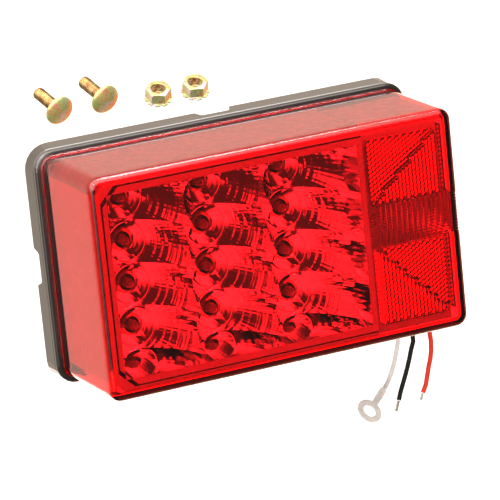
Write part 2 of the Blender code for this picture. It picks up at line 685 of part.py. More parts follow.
def make_ring_terminal():
    """A barrel that grips the wire, and a flat ring for a quarter-inch stud."""
    along = RING_ALONG.normalized()
    across = (RING_ACROSS - along * RING_ACROSS.dot(along)).normalized()
    frame = Matrix((across, along, across.cross(along))).transposed().to_4x4()
    frame.translation = RING_MOUTH + along * GAP
    plate_drop = RING_BARREL_RADIUS - RING_PLATE / 2
    plate = cylinder_mesh((0, RING_REACH, -plate_drop), RING_OUTER, RING_PLATE, axis="Z")
    terminal = finish(plate, "ring_terminal", TINNED)
    neck = box_mesh(
        (-1.7 * mm, RING_BARREL - BITE, -RING_BARREL_RADIUS),
        (1.7 * mm, RING_REACH - RING_OUTER + 1.5 * mm, RING_PLATE - RING_BARREL_RADIUS),
    )
    barrel = cylinder_mesh((0, RING_BARREL / 2, 0), RING_BARREL_RADIUS, RING_BARREL, sides=16)
    hole = cylinder_mesh((0, RING_REACH, -plate_drop), RING_HOLE, 3 * mm, axis="Z")
    boolean(terminal, finish(neck, "ring_neck"), "UNION")
    boolean(terminal, finish(barrel, "ring_barrel"), "UNION")
    boolean(terminal, finish(hole, "ring_hole"))
    for piece in (terminal, *(mod.object for mod in terminal.modifiers)):
        piece.matrix_world = frame


def make_side_leads():
    """Two leads from the main board to the side board, over the gap between them."""
    for n, z in enumerate((-4 * mm, 9 * mm), start=1):
        rises = ((49.4, 0.3), (49.5, 2.4), (50.6, 4.8), (52.8, 6.2))
        route = [(x * mm, BOARD_Y[0] - rise * mm, z) for x, rise in rises]
        route.append((SIDE_BOARD_X[0] - GAP, route[-1][1], z))
        points = smooth_curve([Vector(point) for point in route], 3 * LEAD)
        colour = WIRE_COLOURS["wire_red" if n == 1 else "wire_black"]
        tube(f"side_lead_{n}", points, LEAD, colour)


# ---------------------------------------------------------------- mounting hardware


def make_bolt(name, x):
    neck_y = HEAD_ROOM[1] - GAP
    dome = [
        (BOLT_HEAD_RADIUS * math.cos(math.radians(a)),
         -0.6 * mm - (BOLT_HEAD_HEIGHT - 0.6 * mm) * math.sin(math.radians(a)))
        for a in (0, 25, 50, 70)
    ]
    profile = [
        (0.0, BOLT_LENGTH), (BOLT_RADIUS - 0.6 * mm, BOLT_LENGTH),
        (BOLT_RADIUS, BOLT_LENGTH - 0.8 * mm), (BOLT_RADIUS, 0.0), (BOLT_HEAD_RADIUS, 0.0),
        *dome, (0.0, -BOLT_HEAD_HEIGHT),
    ]
    bolt = turned(name, profile, 20, YELLOW_ZINC)
    square = box_mesh(
        (-BOLT_SQUARE_HALF, -BOLT_SQUARE_HALF, -BITE), (BOLT_SQUARE_HALF, BOLT_SQUARE_HALF, BOLT_SQUARE)
    )
    square = finish(square, f"{name}_square")
    boolean(bolt, square, "UNION")
    for piece in (bolt, square):
        piece.location = (x, neck_y, 0.0)
        piece.rotation_euler = (math.radians(-90), 0.0, 0.0)


def make_lock_washer(name, x):
    """A thin washer with teeth round its outside."""
    bm = bmesh.new()
    bmesh.ops.create_cone(
        bm, cap_ends=True, segments=4 * WASHER_TEETH, radius1=WASHER_RADIUS, radius2=WASHER_RADIUS,
        depth=WASHER_THICK,
    )
    for vert in bm.verts:
        quarter = round(math.atan2(vert.co.y, vert.co.x) / (math.tau / (4 * WASHER_TEETH))) % 4
        if quarter > 1:
            vert.co.x *= 0.84
            vert.co.y *= 0.84
    washer = finish(bm, name, YELLOW_ZINC, smooth=False)
    hole = finish(cylinder_mesh((0, 0, 0), THREAD_HOLE, 4 * mm, axis="Z", sides=20), f"{name}_hole")
    boolean(washer, hole)
    for piece in (washer, hole):
        piece.location = (x, GAP + WASHER_THICK / 2, 0.0)
        piece.rotation_euler = (math.radians(-90), 0.0, 0.0)


def make_nut(name, x):
    bm = bmesh.new()
    radius = NUT_FLATS / 2 / math.cos(math.radians(30))
    bmesh.ops.create_cone(
        bm, cap_ends=True, segments=6, radius1=radius, radius2=radius, depth=NUT_HEIGHT
    )
    nut = finish(bm, name, YELLOW_ZINC, smooth=False)
    hole = finish(cylinder_mesh((0, 0, 0), THREAD_HOLE, 9 * mm, axis="Z", sides=20), f"{name}_hole")
    boolean(nut, hole)
    for piece in (nut, hole):
        piece.location = (x, 2 * GAP + WASHER_THICK + NUT_HEIGHT / 2, 0.0)
        piece.rotation_euler = (math.radians(-90), 0.0, 0.0)


# ---------------------------------------------------------------- the whole light

make_base()
make_seal()
make_lens()
make_reflector()
make_boards()
make_lamps()
make_board_screws()
make_components()
make_reflex("upper_reflex_reflector", *REFLEX_UPPER_Z)
make_reflex("lower_reflex_reflector", *REFLEX_LOWER_Z)
make_grommet()
make_wires()
make_ring_terminal()
make_side_leads()
for place, bolt_x in (("left", -BOLT_X), ("right", BOLT_X)):
    make_bolt(f"carriage_bolt_{place}", bolt_x)
    make_lock_washer(f"lock_washer_{place}", bolt_x)
    make_nut(f"lock_nut_{place}", bolt_x)
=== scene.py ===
"""Looks of the trailer tail light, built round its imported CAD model.

Everything is in metres in the model's own frame: the origin is the centre of the mounting face,
+Y points into the trailer, -Y is the side that traffic sees, +X is the kerb side and +Z is up.
"""

import math
from collections import namedtuple

import bmesh
import bpy
from mathutils import Matrix, Vector


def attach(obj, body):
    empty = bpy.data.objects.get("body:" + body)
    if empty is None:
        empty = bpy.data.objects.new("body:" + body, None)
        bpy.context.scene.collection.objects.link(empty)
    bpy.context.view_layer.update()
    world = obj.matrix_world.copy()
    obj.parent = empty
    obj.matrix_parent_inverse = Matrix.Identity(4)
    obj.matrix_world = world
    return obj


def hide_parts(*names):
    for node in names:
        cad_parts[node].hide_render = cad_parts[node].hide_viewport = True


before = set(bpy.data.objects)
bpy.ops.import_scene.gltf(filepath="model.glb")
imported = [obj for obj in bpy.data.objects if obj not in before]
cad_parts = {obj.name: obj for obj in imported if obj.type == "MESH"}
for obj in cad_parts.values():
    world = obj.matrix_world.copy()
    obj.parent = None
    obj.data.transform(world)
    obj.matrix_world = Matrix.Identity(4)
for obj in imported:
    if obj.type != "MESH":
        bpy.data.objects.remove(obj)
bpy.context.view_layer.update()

mm = 0.001
scene = bpy.context.scene
scene.view_settings.view_transform = "Standard"

SMOOTH_ANGLE = math.radians(35)
NEAR = 0.05 * mm  # two places closer than this are the same place

# ---------------------------------------------------------------- camera, light and floor

CAMERA_RIGHT = Vector((0.90638, -0.41056, -0.09957))
CAMERA_UP = Vector((0.19009, 0.18585, 0.96402))
CAMERA_BACK = Vector((-0.37729, -0.89269, 0.24649))
CAMERA_DISTANCE = 2.0
CAMERA_LENS, CAMERA_SENSOR = 296.7, 36.0  # in millimetres
CAMERA_SHIFT = (0.0527, -0.0456)

# The room's light: direction, where its falloff begins and ends, and radiance
ROOM_LOBES = [
    ((-0.25, 0.85, 0.45), (-0.10, 0.70), (0.90, 0.75, 0.60)),
    ((-0.42, -0.62, 0.66), (0.45, 0.80), (4.7, 4.4, 4.1)),
    ((0.30, 0.88, -0.37), (0.84, 0.95), (2.6, 2.4, 2.2)),
    ((0.75, 0.35, -0.56), (0.55, 0.90), (1.5, 0.50, 0.28)),
]
ROOM_AMBIENT = (0.15, 0.12, 0.11)


def make_camera():
    data = bpy.data.cameras.new("camera")
    data.lens = CAMERA_LENS
    data.sensor_width = CAMERA_SENSOR
    data.shift_x, data.shift_y = CAMERA_SHIFT
    data.clip_start, data.clip_end = 0.05, 100.0
    camera = bpy.data.objects.new("camera", data)
    turn = Matrix((CAMERA_RIGHT, CAMERA_UP, CAMERA_BACK)).transposed().to_4x4()
    camera.matrix_world = Matrix.Translation(CAMERA_BACK * CAMERA_DISTANCE) @ turn
    scene.collection.objects.link(camera)
    scene.camera = camera


def make_world():
    """White to the eye; to the model, a dim room with a bright back and a bright upper front."""
    world = bpy.data.worlds.new("studio")
    world.use_nodes = True
    scene.world = world
    tree = world.node_tree
    tree.nodes.clear()
    new, link = tree.nodes.new, tree.links.new
    place = new("ShaderNodeTexCoord")
    total = new("ShaderNodeRGB").outputs[0]
    total.default_value = (*ROOM_AMBIENT, 1.0)
    for axis, (begin, end), radiance in ROOM_LOBES:
        dot = new("ShaderNodeVectorMath")
        dot.operation = "DOT_PRODUCT"
        dot.inputs[1].default_value = Vector(axis).normalized()
        link(place.outputs["Generated"], dot.inputs[0])
        ramp = new("ShaderNodeMapRange")
        ramp.interpolation_type = "SMOOTHSTEP"
        ramp.inputs["From Min"].default_value = begin
        ramp.inputs["From Max"].default_value = end
        link(dot.outputs["Value"], ramp.inputs["Value"])
        add = new("ShaderNodeVectorMath")
        add.operation = "MULTIPLY_ADD"
        add.inputs[1].default_value = radiance
        link(ramp.outputs["Result"], add.inputs[0])
        link(total, add.inputs[2])
        total = add.outputs["Vector"]
    around, seen = new("ShaderNodeBackground"), new("ShaderNodeBackground")
    link(total, around.inputs["Color"])
    seen.inputs["Color"].default_value = (1, 1, 1, 1)
    path, mix = new("ShaderNodeLightPath"), new("ShaderNodeMixShader")
    link(path.outputs["Is Camera Ray"], mix.inputs["Fac"])
    link(around.outputs[0], mix.inputs[1])
    link(seen.outputs[0], mix.inputs[2])
    link(mix.outputs[0], new("ShaderNodeOutputWorld").inputs["Surface"])


def make_softbox(name, place, target, size, power):
    """A square lamp that points at a target."""
    data = bpy.data.lights.new(name, "AREA")
    data.shape = "RECTANGLE"
    data.size = data.size_y = size
    data.energy = power
    lamp = bpy.data.objects.new(name, data)
    lamp.location = place
    lamp.rotation_euler = (Vector(target) - Vector(place)).to_track_quat("-Z", "Y").to_euler()
    scene.collection.objects.link(lamp)
    return lamp


FLOOR_Z, FLOOR_REACH = -0.150, 8.0
FLOOR_GREY, FLOOR_GLOW = 0.45, 0.44


def make_floor():
    """A white floor that also glows a little, so it stays white under soft light."""
    mesh = bpy.data.meshes.new("floor")
    corners = [(x * FLOOR_REACH, y * FLOOR_REACH, FLOOR_Z) for x, y in ((-1, -1), (1, -1), (1, 1), (-1, 1))]
    mesh.from_pydata(corners, [], [(0, 1, 2, 3)])
    floor = bpy.data.objects.new("floor", mesh)
    scene.collection.objects.link(floor)
    mat = bpy.data.materials.new("floor_white")
    mat.use_nodes = True
    tree = mat.node_tree
    tree.nodes.clear()
    diffuse = tree.nodes.new("ShaderNodeBsdfDiffuse")
    diffuse.inputs["Color"].default_value = (FLOOR_GREY, FLOOR_GREY, FLOOR_GREY, 1)
    glow = tree.nodes.new("ShaderNodeEmission")
    glow.inputs["Strength"].default_value = FLOOR_GLOW
    add = tree.nodes.new("ShaderNodeAddShader")
    out = tree.nodes.new("ShaderNodeOutputMaterial")
    tree.links.new(diffuse.outputs[0], add.inputs[0])
    tree.links.new(glow.outputs[0], add.inputs[1])
    tree.links.new(add.outputs[0], out.inputs["Surface"])
    mesh.materials.append(mat)
    floor.visible_glossy = False
    floor.visible_transmission = False


make_camera()
make_world()
make_softbox("overhead", place=(0.25, -0.20, 1.0), target=(0, 0, 0), size=0.45, power=9.0)
spark = make_softbox("spark", place=(-0.75, -1.15, 1.05), target=(0, -0.03, 0), size=0.16, power=2.4)
spark.visible_diffuse = False
make_floor()

# ---------------------------------------------------------------- materials

Grain = namedtuple("Grain", "scale detail roughness", defaults=(3.0, 0.55))  # of a noise


class Shader:
    """A node material built on one Principled shader, with noise in the object's own coordinates."""

    def __init__(self, name, **values):
        self.mat = bpy.data.materials.new(name)
        self.mat.use_nodes = True
        self.tree = self.mat.node_tree
        self.main = self.tree.nodes["Principled BSDF"]
        self.place = self.tree.nodes.new("ShaderNodeTexCoord").outputs["Object"]
        for key, value in values.items():
            self.main.inputs[key.replace("_", " ")].default_value = value

    def link(self, one, two):
        self.tree.links.new(one, two)

    def noise(self, grain):
        node = self.tree.nodes.new("ShaderNodeTexNoise")
        for key, value in zip(("Scale", "Detail", "Roughness"), grain):
            node.inputs[key].default_value = value
        self.link(self.place, node.inputs["Vector"])
        return node.outputs["Fac"]

    def colour(self, grain, *stops):
        """Each stop is a place on the noise, from 0 to 1, and its colour."""
        node = self.tree.nodes.new("ShaderNodeValToRGB")
        ramp = node.color_ramp
        while len(ramp.elements) < len(stops):
            ramp.elements.new(0.5)
        for element, (place, colour) in zip(ramp.elements, stops):
            element.position = place
            element.color = (*colour, 1.0)
        self.link(self.noise(grain), node.inputs["Fac"])
        self.link(node.outputs["Color"], self.main.inputs["Base Color"])

    def rough(self, grain, low, high):
        node = self.tree.nodes.new("ShaderNodeMapRange")
        for key, value in {"From Min": 0.3, "From Max": 0.7, "To Min": low, "To Max": high}.items():
            node.inputs[key].default_value = value
        self.link(self.noise(grain), node.inputs["Value"])
        self.link(node.outputs["Result"], self.main.inputs["Roughness"])

    def bump(self, grain, height, strength):
        node = self.tree.nodes.new("ShaderNodeBump")
        node.inputs["Distance"].default_value = height
        node.inputs["Strength"].default_value = strength
        self.link(self.noise(grain), node.inputs["Height"])
        self.link(node.outputs["Normal"], self.main.inputs["Normal"])

    def absorb(self, colour, density):
        volume = self.tree.nodes.new("ShaderNodeVolumeAbsorption")
        volume.inputs["Color"].default_value = (*colour, 1.0)
        volume.inputs["Density"].default_value = density
        self.link(volume.outputs[0], self.tree.nodes["Material Output"].inputs["Volume"])


def clear_plastic(name, ior, colour, density):
    """Clear plastic that takes its colour from its thickness."""
    shader = Shader(name, Base_Color=(1.0, 1.0, 1.0, 1.0), Roughness=0.0, IOR=ior, Transmission_Weight=1.0)
    shader.absorb(colour, density)
    return shader.mat


def finish(name, colour=None, rough=None, bump=None, **values):
    """A solid material: colour, rough and bump are what Shader's own calls of those names take."""
    shader = Shader(name, **values)
    if colour:
        shader.colour(*colour)
    if rough:
        shader.rough(*rough)
    if bump:
        shader.bump(*bump)
    return shader.mat


def mottle(scale, dark, light):
    """A soft change between two colours."""
    return Grain(scale), (0.3, dark), (0.7, light)


def make_plastics():
    return {
        "lens": clear_plastic("red_lens_plastic", 1.58, (0.99, 0.37, 0.43), 1500.0),
        "prism": clear_plastic("red_prism_plastic", 1.6, (0.95, 0.43, 0.45), 1000.0),
        # The lens's foot is opaque red with a painted glow: emission that stands in for the light its wall
        # carries round to it
        "foot_painted_glow": finish(
            "red_lens_foot", rough=(Grain(300), 0.5, 0.7), bump=(Grain(900), 0.03 * mm, 0.4), IOR=1.5,
            Base_Color=(0.85, 0.05, 0.04, 1.0), Emission_Color=(1.0, 0.12, 0.06, 1.0), Emission_Strength=0.12,
        ),
        "black_plastic": finish(
            "black_moulded_plastic", mottle(60, (0.006, 0.0055, 0.005), (0.010, 0.009, 0.008)),
            (Grain(160), 0.14, 0.24), (Grain(900, detail=4.0), 0.03 * mm, 0.4), IOR=1.5,
            Coat_Weight=1.0, Coat_IOR=1.55, Coat_Roughness=0.1,
        ),
        "white_plastic": finish(
            "white_moulded_plastic", mottle(60, (0.80, 0.79, 0.77), (0.86, 0.85, 0.83)),
            (Grain(160), 0.18, 0.30), (Grain(700), 0.03 * mm, 0.3), IOR=1.5,
        ),
        # Painted shade: grey for the top and bottom of the reflector's skirt and for the upper reflex
        # backing's leg, where the same parts are otherwise white
        "shade_grey_plastic": finish(
            "moulded_grey_painted_shade", mottle(60, (0.24, 0.23, 0.23), (0.30, 0.29, 0.28)),
            (Grain(160), 0.20, 0.34), (Grain(700), 0.03 * mm, 0.3), IOR=1.5,
        ),
        "silver": finish(
            "silvered_plastic", rough=(Grain(120), 0.04, 0.09),
            bump=(Grain(350, detail=2.0), 0.03 * mm, 0.35), Metallic=1.0, Base_Color=(0.93, 0.93, 0.94, 1.0),
        ),
        "rubber": finish(
            "seal_rubber", mottle(400, (0.02, 0.02, 0.02), (0.035, 0.034, 0.033)),
            (Grain(300), 0.55, 0.75), (Grain(1500), 0.05 * mm, 0.6), IOR=1.45,
        ),
    }


def make_electronics():
    return {
        "epoxy": finish(
            "red_epoxy", bump=(Grain(500), 0.02 * mm, 0.2),
            Base_Color=(1.0, 0.35, 0.3, 1.0), Roughness=0.03, IOR=1.5, Transmission_Weight=0.75,
        ),
        "board": finish(
            "green_board", (Grain(140, 5.0, 0.7), (0.35, (0.01, 0.10, 0.03)), (0.65, (0.02, 0.17, 0.05))),
            (Grain(220), 0.25, 0.45), (Grain(900), 0.05 * mm, 0.5), IOR=1.5,
            Coat_Weight=0.4, Coat_Roughness=0.12,
        ),
        "board_edge": finish(
            "board_edge", mottle(300, (0.72, 0.70, 0.56), (0.82, 0.80, 0.66)),
            (Grain(400), 0.5, 0.7), (Grain(1500), 0.04 * mm, 0.5), IOR=1.5,
        ),
        "ceramic": finish(
            "lacquered_ceramic", mottle(500, (0.55, 0.40, 0.22), (0.68, 0.52, 0.32)),
            (Grain(400), 0.3, 0.5), (Grain(1200), 0.04 * mm, 0.5), IOR=1.5,
        ),
        "diode": finish(
            "diode_epoxy", mottle(500, (0.02, 0.02, 0.022), (0.04, 0.04, 0.042)),
            (Grain(400), 0.35, 0.55), (Grain(1500), 0.04 * mm, 0.5), IOR=1.5,
        ),
    }


def make_metals():
    iridescent = {"rough": (Grain(500), 0.22, 0.36), "bump": (Grain(1400), 0.03 * mm, 0.35), "IOR": 1.5}
    blotches = Grain(230, 2.5, 0.5)
    return {
        "steel": finish(
            "bright_steel", mottle(300, (0.50, 0.50, 0.52), (0.66, 0.66, 0.67)),
            (Grain(600), 0.2, 0.38), (Grain(1500), 0.02 * mm, 0.4), Metallic=1.0,
        ),
        "zinc": finish(
            "yellow_zinc", Metallic=0.6, **iridescent,
            colour=(blotches, (0.32, (0.56, 0.24, 0.17)), (0.42, (0.52, 0.38, 0.14)),
                    (0.50, (0.38, 0.44, 0.14)), (0.58, (0.40, 0.43, 0.24)), (0.68, (0.60, 0.42, 0.42))),
        ),
        "zinc_thread": finish(
            "yellow_zinc_thread", Metallic=0.75, **iridescent,
            colour=(blotches, (0.35, (0.16, 0.06, 0.02)), (0.50, (0.26, 0.17, 0.05)),
                    (0.65, (0.34, 0.30, 0.11))),
        ),
        "tinned": finish(
            "tinned_copper", mottle(400, (0.58, 0.58, 0.57), (0.74, 0.74, 0.73)),
            (Grain(700), 0.30, 0.48), (Grain(1800), 0.02 * mm, 0.4), Metallic=0.4,
        ),
        "strands": finish(
            "bare_strands", mottle(900, (0.16, 0.15, 0.13), (0.34, 0.32, 0.28)),
            (Grain(700), 0.30, 0.48), (Grain(1800), 0.04 * mm, 0.6), Metallic=0.6, Specular_IOR_Level=0.2,
        ),
    }


def make_vinyls():
    colours = {
        "white_vinyl": ((0.42, 0.41, 0.41), (0.48, 0.47, 0.47)),
        "black_vinyl": ((0.004, 0.005, 0.004), (0.009, 0.010, 0.009)),
        "red_vinyl": ((0.34, 0.020, 0.011), (0.41, 0.028, 0.015)),
    }
    return {
        name: finish(
            name, mottle(250, dark, light), (Grain(500), 0.28, 0.42), (Grain(1200), 0.03 * mm, 0.4),
            IOR=1.45, Specular_IOR_Level=0.08,
        )
        for name, (dark, light) in colours.items()
    }


MATS = {**make_plastics(), **make_electronics(), **make_metals(), **make_vinyls()}


def dress(node, *keys, choose=None):
    """Gives a CAD node that stays in view its material, or several, chosen face by face."""
    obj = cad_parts[node]
    obj.data.materials.clear()
    for key in keys:
        obj.data.materials.append(MATS[key])
    obj.data.shade_smooth()
    obj.data.set_sharp_from_angle(angle=SMOOTH_ANGLE)
    for polygon in obj.data.polygons:
        polygon.material_index = choose(polygon) if choose else 0


# ---------------------------------------------------------------- building helpers


def add_mesh(name, bm, keys, smooth=SMOOTH_ANGLE):
    """An object made from a bmesh, with the materials of those keys in its slots."""
    mesh = bpy.data.meshes.new(name)
    bm.to_mesh(mesh)
    bm.free()
    for key in keys:
        mesh.materials.append(MATS[key])
    if smooth:
        mesh.shade_smooth()
        mesh.set_sharp_from_angle(angle=smooth)
    obj = bpy.data.objects.new(name, mesh)
    scene.collection.objects.link(obj)
    return obj


def add_piece(name, bm, keys, node, body="light", smooth=SMOOTH_ANGLE):
    """A piece that rides on a body, stands for a CAD node and takes its finish from a slot."""
    piece = add_mesh(name, bm, keys, smooth)
    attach(piece, body)
    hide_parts(node)


def add_box(bm, low, high, index):
    """A closed box between two corners, in the material of that index."""
    before = len(bm.faces)
    for vert in bmesh.ops.create_cube(bm, size=1.0)["verts"]:
        vert.co = Vector((high if c > 0 else low)[k] for k, c in enumerate(vert.co))
    bm.faces.ensure_lookup_table()
    for face in bm.faces[before:]:
        face.material_index = index


def trim(bm, point, normal):
    """Cuts away what lies beyond a plane."""
    bmesh.ops.bisect_plane(
        bm, geom=bm.verts[:] + bm.edges[:] + bm.faces[:], plane_co=point, plane_no=normal,
        clear_outer=True, dist=1e-7,
    )


def verts_of(geometry):
    return [item for item in geometry if isinstance(item, bmesh.types.BMVert)]


def edges_of(geometry):
    return [item for item in geometry if isinstance(item, bmesh.types.BMEdge)]


def bridge(bm, one, two, index=0):
    """A closed band of faces between two loops of equal length."""
    for k in range(len(one)):
        m = (k + 1) % len(one)
        bm.faces.new((one[k], one[m], two[m], two[k])).material_index = index


def stamp(bm, source, places):
    """Adds a copy of another bmesh at each place, then frees that other one."""
    scratch = bpy.data.meshes.new("scratch")
    source.to_mesh(scratch)
    source.free()
    for place in places:
        before = len(bm.verts)
        bm.from_mesh(scratch)
        bm.verts.ensure_lookup_table()
        bmesh.ops.transform(bm, matrix=place, verts=bm.verts[before:])
    bpy.data.meshes.remove(scratch)


def spread(first, last, steps):
    """Evenly spaced values from the first to the last."""
    return [first + (last - first) * k / steps for k in range(steps + 1)]


CURVE_STEPS = 12


def smooth_curve(points, count):
    """Points at an even spacing along a smooth curve through the given ones."""
    ends = [points[0] * 2 - points[1], *points, points[-1] * 2 - points[-2]]
    fine = []
    for a, b, c, d in zip(ends, ends[1:], ends[2:], ends[3:]):
        for k in range(CURVE_STEPS):
            t = k / CURVE_STEPS
            square = (2 * a - 5 * b + 4 * c - d) * t**2
            cube = (3 * b - a - 3 * c + d) * t**3
            fine.append(0.5 * (2 * b + (c - a) * t + square + cube))
    fine.append(points[-1])
    length = sum((q - p).length for p, q in zip(fine, fine[1:]))
    wanted, so_far, out = length / count, 0.0, [fine[0]]
    for p, q in zip(fine, fine[1:]):
        span = (q - p).length
        while span > 0 and len(out) < count and so_far + span >= wanted * len(out):
            out.append(p.lerp(q, (wanted * len(out) - so_far) / span))
        so_far += span
    return [*out, fine[-1]], length


# ---------------------------------------------------------------- wires

WIRE, WIRE_STEPS, WIRE_ROUNDNESS = 2.4 * mm, 39, 6
WIRE_ROUTES = {
    "wire_white": [
        (34, -10.5, 25), (34, 0, 25), (34.6, 5, 24.4), (37.5, 9.5, 20.5), (45.5, 11.5, 10),
        (57, 11.5, -6), (69, 10.5, -23), (79.5, 8.5, -41), (86.8, 6, -60), (89.6, 5, -77),
        (88.9, 5, -80.7), (86.7, 4.5, -87.1), (83.4, 2.5, -92), (79.2, -1, -95.6), (74.1, -6, -97.2),
    ],
    "wire_black": [
        (38, -10.5, 25), (38, 0, 25), (38.7, 5, 24.6), (42, 9.5, 21), (50.5, 11.5, 11),
        (63.5, 11.5, -5), (76, 10.5, -22), (87, 8.5, -40), (95.2, 6, -60), (98.2, 5, -77),
        (96.6, 5, -83.3), (94.1, 5, -90.8), (91, 4.5, -97.7), (88.2, 3.5, -102.6), (86, 2.5, -107.2),
    ],
    "wire_red": [
        (42, -10.5, 25), (42, 0, 25), (42.8, 5, 24.8), (46.5, 9.5, 21.8), (55.5, 11.5, 12),
        (69.5, 11.5, -4), (82.5, 10.5, -21), (94.5, 8.5, -40), (103.8, 6, -60), (107.6, 5, -77),
        (107.6, 5, -86.3), (106.5, 5, -91), (104.9, 5, -95.8), (103.7, 5, -100.5), (102.5, 5, -104.3),
        (100.9, 5, -107),
    ],
}


def make_wire(name):
    points, length = smooth_curve([Vector(p) * mm for p in WIRE_ROUTES[name]], WIRE_STEPS)
    data = bpy.data.curves.new(name, "CURVE")
    data.dimensions = "3D"
    spline = data.splines.new("POLY")
    spline.points.add(len(points) - 1)
    for place, point in zip(spline.points, points):
        place.co = (*point, 1.0)
    data.bevel_depth = WIRE / 2
    data.bevel_resolution = WIRE_ROUNDNESS
    data.use_fill_caps = True
    vinyl = name.replace("wire_", "") + "_vinyl"
    data.materials.append(MATS[vinyl])
    wire = bpy.data.objects.new(name + "_jacket", data)
    scene.collection.objects.link(wire)
    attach(wire, "light")
    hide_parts(name)


dress("ring_terminal", "tinned")
for strand in ("bare_end_black", "bare_end_red"):
    dress(strand, "strands")
make_wire("wire_white")
make_wire("wire_black")
make_wire("wire_red")

# ---------------------------------------------------------------- lens

LENS_ANCHOR = (88.0 * mm, 48.0 * mm)  # where the round corners are centred
LENS_FACE_Y, LENS_FOOT_Y = -68.6 * mm, -9.6 * mm
LENS_CORNER, LENS_WALL, LENS_EDGE, INNER_EDGE = 6.0 * mm, 2.5 * mm, 3.0 * mm, 3.3 * mm
OUTER_TAPER, INNER_TAPER = 0.38 * mm, 1.28 * mm  # the wall thins towards the foot
BEAD_Y, BEAD, BEAD_RISE = -11.6 * mm, 0.8 * mm, 1.2  # a bead round the wall, and its height over its width
CORNER_STEPS, EDGE_STEPS, WALL_STEPS, BEAD_STEPS = 6, 8, 14, 4
PLAIN_COLUMNS, PLAIN_ROWS = 14, 4  # of the face beside the marker window, and above and below it
WINDOW_X, WINDOW_Z = (50.0 * mm, 87.4 * mm), (-8.0 * mm, 13.0 * mm)
LIP_X, LIP_Z = 0.2 * mm, 0.1 * mm  # the narrow strips of the face where the window's pattern ends
RIDGES, RIDGE_PARTS, RIDGE_END_Y = 14, 4, -20.0 * mm
RIDGE_DEPTH, RIDGE_DEPTH_ASIDE = 0.13 * mm, 0.80 * mm  # on the face, and on the end wall
FLUTES, FLUTE_DEPTH, FLUTE_PARTS = 14, 0.30 * mm, 6
UPRIGHT = math.radians(90)


def clamp(value, limit):
    return max(-limit, min(limit, value))


def lens_lines():
    """The grid lines that the outside and the inside of the lens share."""
    low, high = WINDOW_Z
    xs = spread(-LENS_ANCHOR[0], WINDOW_X[0] - LIP_X, PLAIN_COLUMNS)
    xs += [*spread(*WINDOW_X, FLUTES * FLUTE_PARTS), LENS_ANCHOR[0]]
    zs = spread(-LENS_ANCHOR[1], low - LIP_Z, PLAIN_ROWS)
    zs += spread(low, high, RIDGES * RIDGE_PARTS) + spread(high + LIP_Z, LENS_ANCHOR[1], PLAIN_ROWS)
    return xs, zs


def lens_face(bm, y, radius, dent):
    """The face of one skin, with round corners. Gives its border's vertices, each with the centre that
    its ring grows from and its outward direction."""
    ax, az = LENS_ANCHOR
    xs, zs = lens_lines()
    corner = [radius * math.tan(math.radians(45) * k / CORNER_STEPS) for k in range(1, CORNER_STEPS + 1)]
    xs = [-ax - c for c in reversed(corner)] + xs + [ax + c for c in corner]
    zs = [-az - c for c in reversed(corner)] + zs + [az + c for c in corner]
    grid = []
    for x in xs:
        column = []
        for z in zs:
            centre = Vector((clamp(x, ax), y, clamp(z, az)))
            out = Vector((x, y, z)) - centre
            if out.x and out.z:
                out *= max(abs(out.x), abs(out.z)) / out.length
            column.append(bm.verts.new(dent(centre + out, Vector((0, -1, 0)))))
        grid.append(column)
    for one, two in zip(grid, grid[1:]):
        for j in range(len(zs) - 1):
            bm.faces.new((one[j], one[j + 1], two[j + 1], two[j]))
    right, top = len(xs) - 1, len(zs) - 1
    places = [(i, 0) for i in range(right + 1)] + [(right, j) for j in range(1, top + 1)]
    places += [(i, top) for i in range(right - 1, -1, -1)] + [(0, j) for j in range(top - 1, 0, -1)]
    border = []
    for i, j in places:
        centre = Vector((clamp(xs[i], ax), 0, clamp(zs[j], az)))
        border.append((grid[i][j], centre, (Vector((xs[i], 0, zs[j])) - centre).normalized()))
    return border


def lens_skin(bm, face_y, face_radius, rings, dent):
    """One skin of the lens: its face, then rings outwards, each a radius, a y and the skin's slope.
    dent moves a point of the skin, given its place and its normal. Gives the last ring."""
    border = lens_face(bm, face_y, face_radius, dent)
    last = [vert for vert, centre, out in border]
    for radius, y, slope in rings:
        ring = []
        for vert, centre, out in border:
            point = centre + out * radius + Vector((0, y, 0))
            normal = out * math.sin(slope) - Vector((0, math.cos(slope), 0))
            ring.append(bm.verts.new(dent(point, normal)))
        bridge(bm, last, ring)
        last = ring
    return last


def lens_rings(face_y, radius, edge, foot_y, taper):
    """Rings round the edge and down the wall of one skin."""
    rings = []
    for k in range(1, EDGE_STEPS + 1):
        slope = UPRIGHT * k / EDGE_STEPS
        rings.append((radius - edge + edge * math.sin(slope), face_y + edge * (1 - math.cos(slope)), slope))
    start = face_y + edge
    for k in range(1, WALL_STEPS + 1):
        part = k / WALL_STEPS
        rings.append((radius + taper * part, start + (foot_y - start) * part, UPRIGHT))
    return rings


def bead_rings(wall):
    """Rings round the bead on the outside of the wall, and on down to the foot."""
    rings = []
    for k in range(1, BEAD_STEPS + 1):
        angle = UPRIGHT * k / BEAD_STEPS
        y = BEAD_Y - BEAD * (BEAD_RISE - math.sin(angle))
        rings.append((wall + BEAD * (1 - math.cos(angle)), y, UPRIGHT))
    return [*rings, (wall + BEAD, BEAD_Y, UPRIGHT), (wall, BEAD_Y, UPRIGHT), (wall, LENS_FOOT_Y, UPRIGHT)]


def scallop(value, low, high, count):
    """From 0 in each valley to 1 on each crown of a row of even scallops."""
    if not low < value < high:
        return 0.0
    part = (value - low) / (high - low) * count % 1.0
    return 1.0 - (2 * part - 1) ** 2


def ridge_dent(point, normal):
    """Fine level ridges on the outside of the marker window, round on to the end wall."""
    inside = point.x >= WINDOW_X[0] - LIP_X / 2 and normal.x >= -0.1 and point.y <= RIDGE_END_Y
    if not inside or not WINDOW_Z[0] < point.z < WINDOW_Z[1]:
        return point
    valley = 1.0 - scallop(point.z, *WINDOW_Z, RIDGES)
    depth = RIDGE_DEPTH + (RIDGE_DEPTH_ASIDE - RIDGE_DEPTH) * max(0.0, normal.x)
    return point - normal * depth * valley


